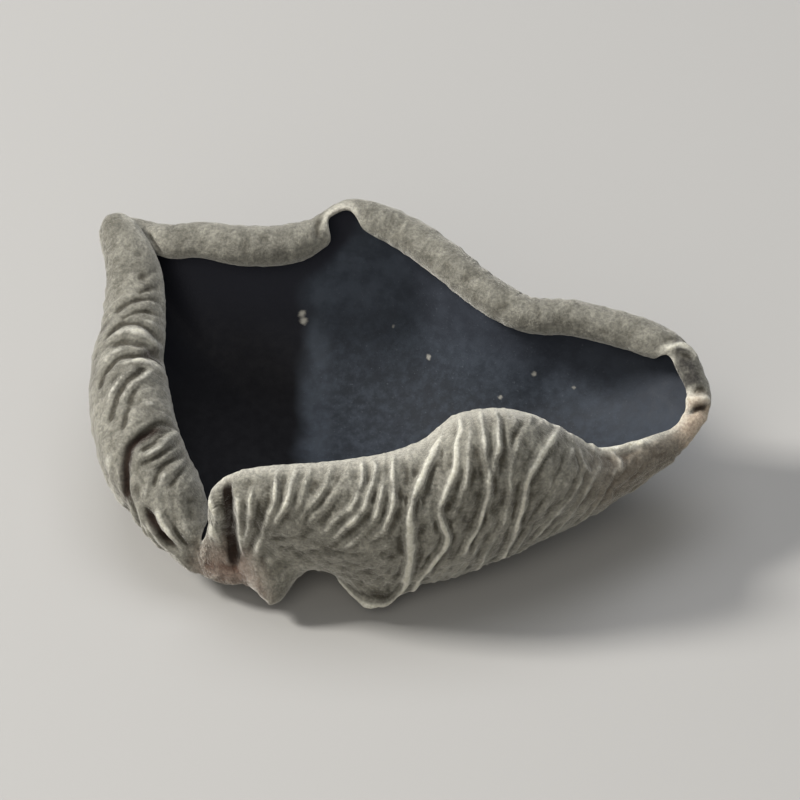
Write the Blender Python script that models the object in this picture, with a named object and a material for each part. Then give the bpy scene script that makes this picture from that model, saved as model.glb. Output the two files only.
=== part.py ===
"""A dried wood ear mushroom: one thin cupped sheet, its margin rolled inwards, lying on its belly.

The ear is drawn flat, as a disc of rings and spokes, and is then curled up. The rim stations below say
where the centre of the rolled margin runs, how tight the roll is, and how far it turns. The folds that
drying pulled up on the ear's back are drawn as they are seen from the front.
"""

import math
from collections import namedtuple

import bmesh
import bpy
import numpy as np

MM = 0.001

# Driving dimensions, in millimetres.
WALL = 0.95  # flesh under the belly
MARGIN_WALL = 0.45  # flesh at the margin
WALL_TO_ROLL = 0.5  # the flesh is never thicker than this share of the margin's roll
BELLY_MIDDLE = (-1.5, -0.5)  # where the belly touches the ground
FLAT_DEPTH = 0.3  # how much of the round belly dried flat on the tray
UPRIGHT_ROLL = 2.2  # rolls wider than this stay upright where the rim climbs
LEANING_ROLL = 0.9  # rolls tighter than this lean until they are square to the rim
TIGHTENING = 0.06  # how much of its radius a roll loses with each radian that it turns
SEEN_FROM = math.radians(38)  # how far above the ground the folds' view looks from

# The rim, anticlockwise seen from above. x, y and z place the centre of the roll. radius and turn shape the
# roll: a turn of 90 degrees leaves the margin level, and 270 a closed scroll. lip is a straight edge past
# the roll. drop is how far the wall falls straight down before it turns under the ear, as a share of its
# height, and reach how far out the flat of the belly pulls it, as a share of the way to the rim.
Station = namedtuple("Station", "x y z radius turn lip drop reach")
RIM = (
    Station(19.4, -0.5, 8.9, 0.95, 150, 0.0, 0.30, 0.55),  # pointed right tip
    Station(18.85, 1.3, 10.05, 1.0, 175, 0.0, 0.35, 0.55),
    Station(18.0, 2.4, 10.7, 1.1, 160, 0.0, 0.40, 0.58),
    Station(16.6, 3.2, 11.0, 1.35, 245, 0.0, 0.45, 0.60),
    Station(14.6, 3.9, 11.3, 1.4, 255, 0.0, 0.50, 0.60),
    Station(11.5, 4.5, 11.8, 1.4, 255, 0.0, 0.60, 0.62),
    Station(8.4, 4.7, 12.0, 1.4, 255, 0.0, 0.65, 0.62),
    Station(5.6, 6.3, 12.6, 1.45, 255, 0.0, 0.70, 0.65),
    Station(3.0, 8.8, 13.3, 1.45, 255, 0.0, 0.70, 0.65),
    Station(0.6, 10.7, 14.0, 1.4, 250, 0.0, 0.70, 0.65),
    Station(-1.8, 11.7, 14.7, 1.25, 220, 0.0, 0.70, 0.65),
    Station(-3.4, 12.0, 14.9, 1.05, 120, 0.0, 0.70, 0.65),  # the scroll opens beside the step
    Station(-4.4, 11.7, 14.6, 1.0, 110, 0.0, 0.70, 0.65),
    Station(-5.4, 11.2, 13.85, 1.25, 230, 0.0, 0.70, 0.65),
    Station(-7.2, 10.7, 13.3, 1.55, 250, 0.0, 0.70, 0.65),
    Station(-10.2, 10.6, 13.2, 1.6, 255, 0.0, 0.65, 0.65),
    Station(-13.2, 11.15, 13.3, 1.4, 238, 0.0, 0.65, 0.65),
    Station(-15.25, 11.4, 13.0, 1.35, 224, 0.0, 0.60, 0.65),
    Station(-17.2, 12.6, 12.75, 1.1, 152, 0.0, 0.60, 0.65),
    Station(-18.45, 12.55, 13.5, 0.9, 98, 0.3, 0.60, 0.65),  # back corner
    Station(-18.65, 11.95, 13.8, 1.25, 152, 0.0, 0.60, 0.65),
    Station(-18.0, 10.9, 13.15, 1.65, 130, 0.3, 0.60, 0.65),
    Station(-17.4, 9.1, 12.0, 2.05, 165, 0.0, 0.65, 0.68),
    Station(-17.3, 6.5, 10.4, 2.3, 180, 0.0, 0.70, 0.70),
    Station(-17.6, 3.2, 9.0, 2.7, 185, 0.0, 0.75, 0.72),
    Station(-17.3, -0.3, 7.9, 3.0, 185, 0.0, 0.80, 0.75),
    Station(-16.4, -3.6, 6.9, 3.0, 180, 0.0, 0.80, 0.75),
    Station(-15.0, -6.1, 5.7, 2.75, 178, 0.0, 0.75, 0.72),
    Station(-13.8, -8.0, 4.7, 2.2, 172, 0.0, 0.65, 0.70),
    Station(-13.2, -8.8, 4.1, 1.2, 130, 0.0, 0.50, 0.65),
    Station(-12.6, -9.3, 4.0, 0.5, 80, 0.0, 0.40, 0.60),  # bottom of the gathered notch
    Station(-12.2, -9.7, 4.7, 0.5, 80, 0.0, 0.42, 0.62),
    Station(-11.9, -10.0, 6.0, 0.55, 80, 0.0, 0.48, 0.64),
    Station(-11.6, -10.2, 7.7, 0.8, 88, 0.0, 0.54, 0.65),
    Station(-11.2, -10.4, 9.1, 1.05, 96, 0.0, 0.60, 0.66),
    Station(-10.2, -10.5, 9.75, 1.45, 104, 0.0, 0.68, 0.70),
    Station(-8.0, -10.6, 9.5, 2.2, 105, 0.0, 0.76, 0.75),
    Station(-4.5, -10.6, 9.2, 2.8, 100, 0.2, 0.81, 0.80),
    Station(-0.8, -10.3, 9.0, 3.4, 100, 0.3, 0.89, 0.85),
    Station(2.0, -9.7, 9.3, 3.5, 105, 0.8, 0.89, 0.85),
    Station(4.3, -9.0, 10.7, 3.4, 108, 1.2, 0.89, 0.85),
    Station(7.8, -8.0, 10.7, 3.0, 108, 1.2, 0.82, 0.80),
    Station(10.4, -7.0, 9.4, 2.5, 105, 0.8, 0.75, 0.75),
    Station(12.9, -5.9, 7.6, 1.9, 100, 0.2, 0.60, 0.68),
    Station(15.8, -4.3, 7.7, 1.4, 95, 0.0, 0.45, 0.60),
    Station(18.1, -2.5, 7.8, 1.05, 95, 0.0, 0.35, 0.55),
)

# Swellings of the ear's back: where each one is centred, how wide it is and how it is pushed.
Swelling = namedtuple("Swelling", "x y z width push_x push_y push_z")
SWELLINGS = (
    Swelling(-8.6, -10.9, 3.1, 1.8, 0.0, -2.7, -2.1),  # the stub that held the ear to its branch
    Swelling(-11.1, -9.7, 2.9, 1.7, 0.0, -1.7, -1.2),
    Swelling(-13.6, -8.8, 2.8, 1.4, -0.2, -0.6, -0.6),
    Swelling(-1.5, -11.0, 1.3, 1.9, -0.2, -1.9, -0.35),  # a pinch of skin hanging below the front
)
HOLLOWS = (Swelling(-5.6, -10.8, 2.0, 1.6, 0.0, 1.3, 0.8),)  # a dent of the whole wall between them

# Folds on the ear's back, each a line seen from the front: sideways and upwards, and its height and width.
Fold = namedtuple("Fold", "height width line")
FOLDS = (
    Fold(0.45, 0.75, ((2.3, 3.9), (1.3, 1.5), (0.7, -0.5), (0.6, -3.5), (0.2, -5.6), (-0.8, -6.6))),
    Fold(0.40, 0.75, ((3.8, 5.8), (3.5, 3.0), (2.6, 0.0), (3.0, -2.0), (1.4, -5.0))),
    Fold(0.40, 0.75, ((6.2, 6.4), (5.6, 2.0), (5.4, -0.8), (4.2, -4.6))),
    Fold(0.40, 0.75, ((10.3, 5.4), (8.3, 2.0), (8.2, 0.0), (7.2, -2.0), (6.0, -4.6))),
    Fold(0.35, 0.70, ((-1.8, 3.4), (-2.4, 1.2), (-3.2, -0.4), (-5.2, -2.0))),
    Fold(0.30, 0.70, ((-0.6, 1.6), (-1.6, -0.8), (-3.4, -2.6))),
    Fold(0.40, 0.75, ((-6.6, 3.0), (-7.1, 0.6), (-8.7, -2.6))),
    Fold(0.45, 0.80, ((-9.2, 2.9), (-9.6, 0.4), (-10.0, -3.0))),
    Fold(-0.40, 0.70, ((-10.9, 1.0), (-10.8, -1.5), (-10.6, -4.0))),  # the deepest crease, by the notch
    Fold(-0.45, 0.70, ((-20.2, 8.0), (-19.2, 9.7), (-17.3, 10.4), (-15.0, 9.5))),  # pinch round the left roll
    Fold(-0.35, 0.65, ((-18.7, 4.8), (-18.4, 7.2), (-16.3, 9.3))),
    Fold(-0.40, 0.65, ((-17.7, -0.4), (-17.8, 2.4), (-16.9, 4.5), (-14.4, 5.4))),
    Fold(-0.40, 0.65, ((-16.9, 0.4), (-15.6, -1.8), (-13.8, -3.2))),
    Fold(0.35, 0.70, ((-19.8, 10.2), (-18.4, 11.4), (-16.8, 11.5), (-15.0, 10.6))),
)

# The flat sheet. A ring's radius is 0 in the middle, 1 where the wall is widest and 2 at the margin.
FIRST_SPOKES = 30
RINGS = (0.12, 0.26, 0.40, 0.52, 0.63, 0.73, 0.82, 0.91, 1.0,
         1.12, 1.24, 1.36, 1.48, 1.61, 1.74, 1.87, 2.0)  # fmt: skip
DOUBLE_AT = (0.12, 0.40)  # rings past which there are twice as many spokes
RIM_SAMPLES = 2400
TURN_EFFORT = 1.6  # millimetres of rim that one radian of turning counts for
PLEATED_EFFORT = 1.5  # how much closer the spokes stand on the pleated front and left than at the back
SOFTENED = 0.03  # the share of the rim over which its corners are smoothed out down on the belly
FLATTENED = 0.10  # the same, for the flat of the belly


def ring_spline(values, knots, at, level=False):
    """A closed curve through the stations, read at the positions in at. level keeps it from overshooting."""
    gap = np.diff(knots)
    rise = (np.roll(values, -1) - values) / gap
    before, back = np.roll(rise, 1), np.roll(gap, 1)
    slope = (before * gap + rise * back) / (gap + back)
    if level:
        most = 3 * np.minimum(abs(before), abs(rise))
        slope = np.where(before * rise > 0, np.clip(slope, -most, most), 0.0)
    here = np.clip(np.searchsorted(knots, at, side="right") - 1, 0, len(gap) - 1)
    after = (here + 1) % len(values)
    t = (at - knots[here]) / gap[here]
    return (
        (2 * t**3 - 3 * t**2 + 1) * values[here]
        + (t**3 - 2 * t**2 + t) * slope[here] * gap[here]
        + (3 * t**2 - 2 * t**3) * values[after]
        + (t**3 - t**2) * slope[after] * gap[here]
    )


def smooth_step(low, high, value):
    t = np.clip((value - low) / (high - low), 0, 1)
    return t * t * (3 - 2 * t)


def softened(values, effort, share):
    """The values smoothed round the rim by a bell curve that is this share of the rim wide."""
    evenly = np.interp(np.arange(len(values)) / len(values), effort, values, period=1)
    waves = np.fft.rfftfreq(len(values), 1 / len(values))
    smooth = np.fft.irfft(np.fft.rfft(evenly) * np.exp(-2 * (math.pi * share * waves) ** 2), len(values))
    return np.interp(effort, np.arange(len(values)) / len(values), smooth, period=1)


def rim_table():
    """The rim sampled finely, as arrays: the station values, the way inwards, the widest points, and effort,
    which runs from 0 to 1 round the rim and spaces the spokes."""
    stations = np.array(RIM)
    steps = np.linalg.norm(np.roll(stations[:, :3], -1, axis=0) - stations[:, :3], axis=1)
    knots = np.concatenate([[0.0], np.cumsum(np.sqrt(steps))])
    at = np.linspace(0.0, knots[-1], RIM_SAMPLES, endpoint=False)
    rim = {
        name: ring_spline(stations[:, i], knots, at, level=name not in "xyz")
        for i, name in enumerate(Station._fields)
    }
    ahead = np.stack([np.roll(rim[axis], -1) - np.roll(rim[axis], 1) for axis in "xyz"])
    level = np.hypot(ahead[0], ahead[1])
    rim["in_x"], rim["in_y"] = -ahead[1] / level, ahead[0] / level
    rim["lean"] = np.arctan2(ahead[2], level) * smooth_step(UPRIGHT_ROLL, LEANING_ROLL, rim["radius"])
    run = np.linalg.norm(ahead, axis=0) / 2
    turned = np.linalg.norm(np.gradient(ahead / (2 * run), axis=1), axis=0)
    pleated = 1 / (1 + np.exp(rim["y"] + 0.5 * rim["x"]))
    effort = run * (1 + (PLEATED_EFFORT - 1) * pleated) + TURN_EFFORT * turned
    rim["effort"] = (np.cumsum(effort) - effort) / effort.sum()
    rim["wide_x"] = rim["x"] - rim["in_x"] * rim["radius"]
    rim["wide_y"] = rim["y"] - rim["in_y"] * rim["radius"]
    for name in ("wide_x", "wide_y", "z", "drop", "reach"):
        rim["soft_" + name] = softened(rim[name], rim["effort"], SOFTENED)
    for axis in "xy":
        rim["flat_" + axis] = softened(rim["wide_" + axis], rim["effort"], FLATTENED)
    return rim


def curled(rim, spoke, ring):
    """Where points of the flat sheet go as it curls, in millimetres. spoke is 0 to 1 round the rim."""
    at = {name: np.interp(spoke, rim["effort"], rim[name], period=1) for name in rim}
    up = np.array([0.0, 0.0, 1.0])
    inward = np.stack([at["in_x"], at["in_y"], 0 * ring], axis=1)
    inward /= np.linalg.norm(inward, axis=1)[:, None]
    sharp = smooth_step(0.35, 1.0, ring)
    rim_z, drop, reach, wide_x, wide_y = (
        at["soft_" + name] * (1 - sharp) + at[name] * sharp
        for name in ("z", "drop", "reach", "wide_x", "wide_y")
    )
    middle = np.array([*BELLY_MIDDLE, 0.0])
    widest = np.stack([wide_x, wide_y, rim_z], axis=1)
    flat_out = np.stack([at["flat_x"], at["flat_y"], 0 * ring], axis=1)
    under = middle + (flat_out - middle) * reach[:, None]
    below = widest - up * (rim_z * drop)[:, None]
    t = np.minimum(ring, 1)[:, None]
    belly = (
        (1 - t) ** 3 * middle
        + 3 * (1 - t) ** 2 * t * under
        + 3 * (1 - t) * t**2 * below
        + t**3 * widest
    )
    forward = np.stack([inward[:, 1], -inward[:, 0], 0 * ring], axis=1)
    rising = up * np.cos(at["lean"])[:, None] - forward * np.sin(at["lean"])[:, None]
    arc = at["radius"] * np.radians(at["turn"])
    along = np.maximum(ring - 1, 0) * (arc + at["lip"])
    angle = np.minimum(along, arc) / at["radius"]
    tightened = (at["radius"] * (1 - TIGHTENING * angle))[:, None]
    centre = np.stack([at["x"], at["y"], at["z"]], axis=1)
    rise, run = np.sin(angle)[:, None], np.cos(angle)[:, None]
    rolled = centre + tightened * (rising * rise - inward * run)
    rolled += (rising * run + inward * rise) * np.maximum(along - arc, 0)[:, None]
    return np.where(ring[:, None] > 1, rolled, belly)


def outward(rim, spoke, ring):
    """The way out of the ear's back at points of the sheet."""
    step = 0.002
    round_rim = curled(rim, spoke + step, ring) - curled(rim, spoke - step, ring)
    out = curled(rim, spoke, np.minimum(ring + step, 2)) - curled(rim, spoke, np.maximum(ring - step, 0))
    normal = np.cross(round_rim, out)
    return normal / np.maximum(np.linalg.norm(normal, axis=1), 1e-9)[:, None]


def distance_to_line(across, up, line):
    """How far points of the front view are from a line of that view."""
    nearest = np.full(len(across), 1e9)
    for (x0, y0), (x1, y1) in zip(line, line[1:]):
        length = math.hypot(x1 - x0, y1 - y0)
        along_x, along_y = (x1 - x0) / length, (y1 - y0) / length
        t = np.clip((across - x0) * along_x + (up - y0) * along_y, 0, length)
        nearest = np.minimum(nearest, np.hypot(across - x0 - along_x * t, up - y0 - along_y * t))
    return nearest


def pushed(points, swellings):
    """How far the swellings or hollows move the points."""
    moved = np.zeros_like(points)
    for bump in swellings:
        away = np.linalg.norm(points - (bump.x, bump.y, bump.z), axis=1)
        share = np.exp(-((away / bump.width) ** 2))[:, None]
        moved += share * (bump.push_x, bump.push_y, bump.push_z)
    return moved


def folded(points, normals):
    """How far the folds that drying left move the points."""
    across = points[:, 0]
    up = points[:, 1] * math.sin(SEEN_FROM) + points[:, 2] * math.cos(SEEN_FROM)
    faces_front = normals[:, 2] * math.sin(SEEN_FROM) - normals[:, 1] * math.cos(SEEN_FROM)
    shown = smooth_step(0.0, 0.35, faces_front)
    height = np.zeros(len(points))
    for fold in FOLDS:
        away = distance_to_line(across, up, fold.line)
        height += fold.height * np.exp(-((away / fold.width) ** 2)) * shown
    return height[:, None] * normals


def flat_sheet():
    """The ear before it curls: a disc of spokes and rings, with more spokes towards the margin."""
    sheet = bmesh.new()
    bmesh.ops.create_circle(
        sheet, cap_ends=True, cap_tris=True, segments=FIRST_SPOKES, radius=RINGS[0]
    )
    for inner, outer in zip(RINGS, RINGS[1:]):
        edge = [e for e in sheet.edges if e.is_boundary]
        if inner in DOUBLE_AT:
            bmesh.ops.subdivide_edges(sheet, edges=edge, cuts=1)
            edge = [e for e in sheet.edges if e.is_boundary]
        made = bmesh.ops.extrude_edge_only(sheet, edges=edge)["geom"]
        for vert in made:
            if isinstance(vert, bmesh.types.BMVert):
                vert.co = vert.co.normalized() * outer
    return sheet


def wall_of(rim, spoke, ring):
    """How thick the flesh is at points of the sheet."""
    wall = WALL + (MARGIN_WALL - WALL) * smooth_step(0.0, 1.6, ring)
    roll = np.interp(spoke, rim["effort"], rim["radius"], period=1) * WALL_TO_ROLL
    pinched = np.minimum(wall, roll)
    return wall + (pinched - wall) * smooth_step(0.5, 0.9, ring)


def skins():
    """The flat sheet, and where its points go on the ear's back and on its inside, in millimetres."""
    rim = rim_table()
    sheet = flat_sheet()
    flat = np.array([vert.co for vert in sheet.verts])
    ring = np.minimum(np.hypot(flat[:, 0], flat[:, 1]), 2)
    spoke = (np.arctan2(flat[:, 1], flat[:, 0]) / math.tau) % 1
    skin, normals = curled(rim, spoke, ring), outward(rim, spoke, ring)
    shrunk = pushed(skin, HOLLOWS) + folded(skin, normals)
    below_rim = 1 - smooth_step(0.8, 1.1, ring)
    back = skin + shrunk + pushed(skin, SWELLINGS) * below_rim[:, None]
    inside = skin + shrunk - normals * wall_of(rim, spoke, ring)[:, None]
    back[:, 2] = np.maximum(back[:, 2] - FLAT_DEPTH, 0)
    inside[:, 2] = np.maximum(inside[:, 2] - FLAT_DEPTH, WALL)
    middle = (back[:, :2].min(axis=0) + back[:, :2].max(axis=0)) / 2
    back[:, :2] -= middle
    inside[:, :2] -= middle
    return sheet, back, inside


def curled_flesh():
    """The ear as a closed mesh: its back, its inside, and the margin's edge between them."""
    sheet, back, inside = skins()
    outer = list(sheet.verts)
    copied = bmesh.ops.duplicate(sheet, geom=sheet.verts[:] + sheet.edges[:] + sheet.faces[:])["vert_map"]
    inner = [copied[vert] for vert in outer]
    margin = [edge for edge in sheet.edges if edge.is_boundary]
    for verts, places in ((outer, back), (inner, inside)):
        for vert, place in zip(verts, places):
            vert.co = place * MM
    bmesh.ops.bridge_loops(sheet, edges=margin)
    bmesh.ops.recalc_face_normals(sheet, faces=sheet.faces)
    mesh = bpy.data.meshes.new("ear")
    sheet.to_mesh(mesh)
    sheet.free()
    return mesh


def dried_flesh():
    """The grey-brown velvet of the ear's back."""
    material = bpy.data.materials.new("dried_flesh")
    material.use_nodes = True
    shader = material.node_tree.nodes["Principled BSDF"]
    shader.inputs["Base Color"].default_value = (0.24, 0.22, 0.185, 1)
    shader.inputs["Roughness"].default_value = 0.9
    shader.inputs["Metallic"].default_value = 0.0
    return material


def ear():
    """The whole mushroom."""
    mesh = curled_flesh()
    mesh.materials.append(dried_flesh())
    mesh.shade_smooth()
    bpy.context.scene.collection.objects.link(bpy.data.objects.new("ear", mesh))


for old in list(bpy.data.objects):
    bpy.data.objects.remove(old, do_unlink=True)
ear()
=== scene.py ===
"""How a dried wood ear looks: its wrinkled velvet back, its smooth dark inside, and the light it lies in.

The flesh is cut as two flat discs, one for each skin, and both are curled round the same rim as the solid.
Wrinkles are then drawn up on the velvet back: those that show from the front along drawn lines, and
all others by combing noise the way the flesh shrank. Lengths are millimetres until a mesh is finished.
"""

import math
from collections import namedtuple

import bpy
import numpy as np
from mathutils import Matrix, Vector


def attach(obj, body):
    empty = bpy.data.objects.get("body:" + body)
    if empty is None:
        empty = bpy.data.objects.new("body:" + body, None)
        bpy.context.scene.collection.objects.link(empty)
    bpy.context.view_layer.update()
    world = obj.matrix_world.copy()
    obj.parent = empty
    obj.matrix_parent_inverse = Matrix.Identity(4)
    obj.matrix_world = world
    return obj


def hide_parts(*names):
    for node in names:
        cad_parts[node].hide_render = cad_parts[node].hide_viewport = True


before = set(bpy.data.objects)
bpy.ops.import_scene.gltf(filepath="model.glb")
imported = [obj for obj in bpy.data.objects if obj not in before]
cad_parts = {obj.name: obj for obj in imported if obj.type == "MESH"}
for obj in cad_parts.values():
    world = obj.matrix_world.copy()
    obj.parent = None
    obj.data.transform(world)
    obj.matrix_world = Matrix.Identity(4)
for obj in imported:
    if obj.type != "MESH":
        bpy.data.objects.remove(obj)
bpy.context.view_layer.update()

MM = 0.001


def rows_of(kind, *rows):
    """A table with the same named values in each row."""
    return [kind(*row) for row in rows]


# Driving dimensions of the flesh, in millimetres.
WALL = 0.95  # flesh under the belly
MARGIN_WALL = 0.45  # flesh at the margin
WALL_TO_ROLL = 0.5  # the flesh is never thicker than this share of the margin's roll
ROUNDED_MARGIN = 0.3  # how much of the margin its round edge takes
BELLY_MIDDLE = (-1.5, -0.5)  # where the belly touches the ground
FLAT_DEPTH = 0.3  # how much of the round belly dried flat where it lay
UPRIGHT_ROLL = 2.2  # rolls wider than this stay upright where the rim climbs
LEANING_ROLL = 0.9  # rolls tighter than this lean until they are square to the rim
TIGHTENING = 0.06  # the share of its radius that a roll loses with each radian that it turns
ROOT = (-10.9, -10.6, 3.2)  # where the ear held to its branch, and its wrinkles start
RED_REACH = 3.5  # how far its red fades out from there

SEEN_FROM = math.radians(38)  # how far above the ground the camera looks from
FRAME_WIDTH = 52.3  # across the picture
AIM = (0.04, 0.0, 8.47)  # the point in the middle of the picture
LENS = 300.0
SENSOR = 36.0  # how wide the camera's sensor is

# The studio's lamps, in metres and watts.
LIT_PLACE = (0, 0, 0.005)  # what they point at
Lamp = namedtuple("Lamp", "name place size power tint")
LAMPS = rows_of(
    Lamp,
    ("window", (-0.42, 0.04, 0.36), 0.12, 3.8, "#fffdfa"),
    ("sky", (0.0, 0.16, 0.58), 0.45, 1.8, "#f6f8ff"),
    ("room", (-0.1, -0.45, 0.35), 0.35, 1.2, "#fffaf2"),
)

# The rim, anticlockwise seen from above. x, y and z place the centre of the roll. radius and turn shape the
# roll: a turn of 90 degrees leaves the margin level, and 270 a closed scroll. lip is a straight edge past
# the roll. drop is how far the wall falls straight down before it turns under the ear, as a share of its
# height, and reach how far out the flat of the belly pulls it, as a share of the way to the rim. pleats is
# how strongly the roll is wrinkled.
Station = namedtuple("Station", "x y z radius turn lip drop reach pleats")
RIM = rows_of(
    Station,
    (19.4, -0.5, 8.9, 0.95, 150, 0.0, 0.30, 0.55, 0.30),  # pointed right tip
    (18.85, 1.3, 10.05, 1.0, 175, 0.0, 0.35, 0.55, 0.25),
    (18.0, 2.4, 10.7, 1.1, 160, 0.0, 0.40, 0.58, 0.20),
    (16.6, 3.2, 11.0, 1.35, 245, 0.0, 0.45, 0.60, 0.15),
    (14.6, 3.9, 11.3, 1.4, 255, 0.0, 0.50, 0.60, 0.34),
    (11.5, 4.5, 11.8, 1.4, 255, 0.0, 0.60, 0.62, 0.34),
    (8.4, 4.7, 12.0, 1.4, 255, 0.0, 0.65, 0.62, 0.34),
    (5.6, 6.3, 12.6, 1.45, 255, 0.0, 0.70, 0.65, 0.34),
    (3.0, 8.8, 13.3, 1.45, 255, 0.0, 0.70, 0.65, 0.34),
    (0.6, 10.7, 14.0, 1.4, 250, 0.0, 0.70, 0.65, 0.34),
    (-1.8, 11.7, 14.7, 1.25, 220, 0.0, 0.70, 0.65, 0.34),
    (-3.4, 12.0, 14.9, 1.05, 120, 0.0, 0.70, 0.65, 0.34),  # the scroll opens beside the step
    (-4.4, 11.7, 14.6, 1.0, 110, 0.0, 0.70, 0.65, 0.34),
    (-5.4, 11.2, 13.85, 1.25, 230, 0.0, 0.70, 0.65, 0.34),
    (-7.2, 10.7, 13.3, 1.55, 250, 0.0, 0.70, 0.65, 0.34),
    (-10.2, 10.6, 13.2, 1.6, 255, 0.0, 0.65, 0.65, 0.34),
    (-13.2, 11.15, 13.3, 1.4, 238, 0.0, 0.65, 0.65, 0.34),
    (-15.25, 11.4, 13.0, 1.35, 224, 0.0, 0.60, 0.65, 0.15),
    (-17.2, 12.6, 12.75, 1.1, 152, 0.0, 0.60, 0.65, 0.20),
    (-18.45, 12.55, 13.5, 0.9, 98, 0.3, 0.60, 0.65, 0.20),  # back corner
    (-18.65, 11.95, 13.8, 1.25, 152, 0.0, 0.60, 0.65, 0.20),
    (-18.0, 10.9, 13.15, 1.65, 130, 0.3, 0.60, 0.65, 0.22),
    (-17.4, 9.1, 12.0, 2.05, 165, 0.0, 0.65, 0.68, 0.35),
    (-17.3, 6.5, 10.4, 2.3, 180, 0.0, 0.70, 0.70, 0.80),
    (-17.6, 3.2, 9.0, 2.7, 185, 0.0, 0.75, 0.72, 1.00),
    (-17.3, -0.3, 7.9, 3.0, 185, 0.0, 0.80, 0.75, 1.00),
    (-16.4, -3.6, 6.9, 3.0, 180, 0.0, 0.80, 0.75, 1.00),
    (-15.0, -6.1, 5.7, 2.75, 178, 0.0, 0.75, 0.72, 0.90),
    (-13.8, -8.0, 4.7, 2.2, 172, 0.0, 0.65, 0.70, 0.80),
    (-13.2, -8.8, 4.1, 1.2, 130, 0.0, 0.50, 0.65, 0.60),
    (-12.6, -9.3, 4.0, 0.5, 80, 0.0, 0.40, 0.60, 0.30),  # bottom of the gathered notch
    (-12.2, -9.7, 4.7, 0.5, 80, 0.0, 0.42, 0.62, 0.25),
    (-11.9, -10.0, 6.0, 0.55, 80, 0.0, 0.48, 0.64, 0.25),
    (-11.6, -10.2, 7.7, 0.8, 88, 0.0, 0.54, 0.65, 0.30),
    (-11.2, -10.4, 9.1, 1.05, 96, 0.0, 0.60, 0.66, 0.50),
    (-10.2, -10.5, 9.75, 1.45, 104, 0.0, 0.68, 0.70, 0.80),
    (-8.0, -10.6, 9.5, 2.2, 105, 0.0, 0.76, 0.75, 1.00),
    (-4.5, -10.6, 9.2, 2.8, 100, 0.2, 0.81, 0.80, 1.00),
    (-0.8, -10.3, 9.0, 3.4, 100, 0.3, 0.89, 0.85, 1.00),
    (2.0, -9.7, 9.3, 3.5, 105, 0.8, 0.89, 0.85, 1.00),
    (4.3, -9.0, 10.7, 3.4, 108, 1.2, 0.89, 0.85, 1.00),
    (7.8, -8.0, 10.7, 3.0, 108, 1.2, 0.82, 0.80, 1.00),
    (10.4, -7.0, 9.4, 2.5, 105, 0.8, 0.75, 0.75, 0.90),
    (12.9, -5.9, 7.6, 1.9, 100, 0.2, 0.60, 0.68, 0.70),
    (15.8, -4.3, 7.7, 1.4, 95, 0.0, 0.45, 0.60, 0.50),
    (18.1, -2.5, 7.8, 1.05, 95, 0.0, 0.35, 0.55, 0.35),
)

# Swellings of the ear's back: where each one is centred, how wide it is and how it is pushed.
Swelling = namedtuple("Swelling", "x y z width push_x push_y push_z")
SWELLINGS = rows_of(
    Swelling,
    (-8.6, -10.9, 3.1, 1.8, 0.0, -2.7, -2.1),  # the stub that held the ear to its branch
    (-11.1, -9.7, 2.9, 1.7, 0.0, -1.7, -1.2),
    (-13.6, -8.8, 2.8, 1.4, -0.2, -0.6, -0.6),
    (-1.5, -11.0, 1.3, 1.9, -0.2, -1.9, -0.35),  # a pinch of skin hanging below the front
)
# A dent of the whole wall between the stub and the pinch.
HOLLOWS = rows_of(Swelling, (-5.6, -10.8, 2.0, 1.6, 0.0, 1.3, 0.8))

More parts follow.
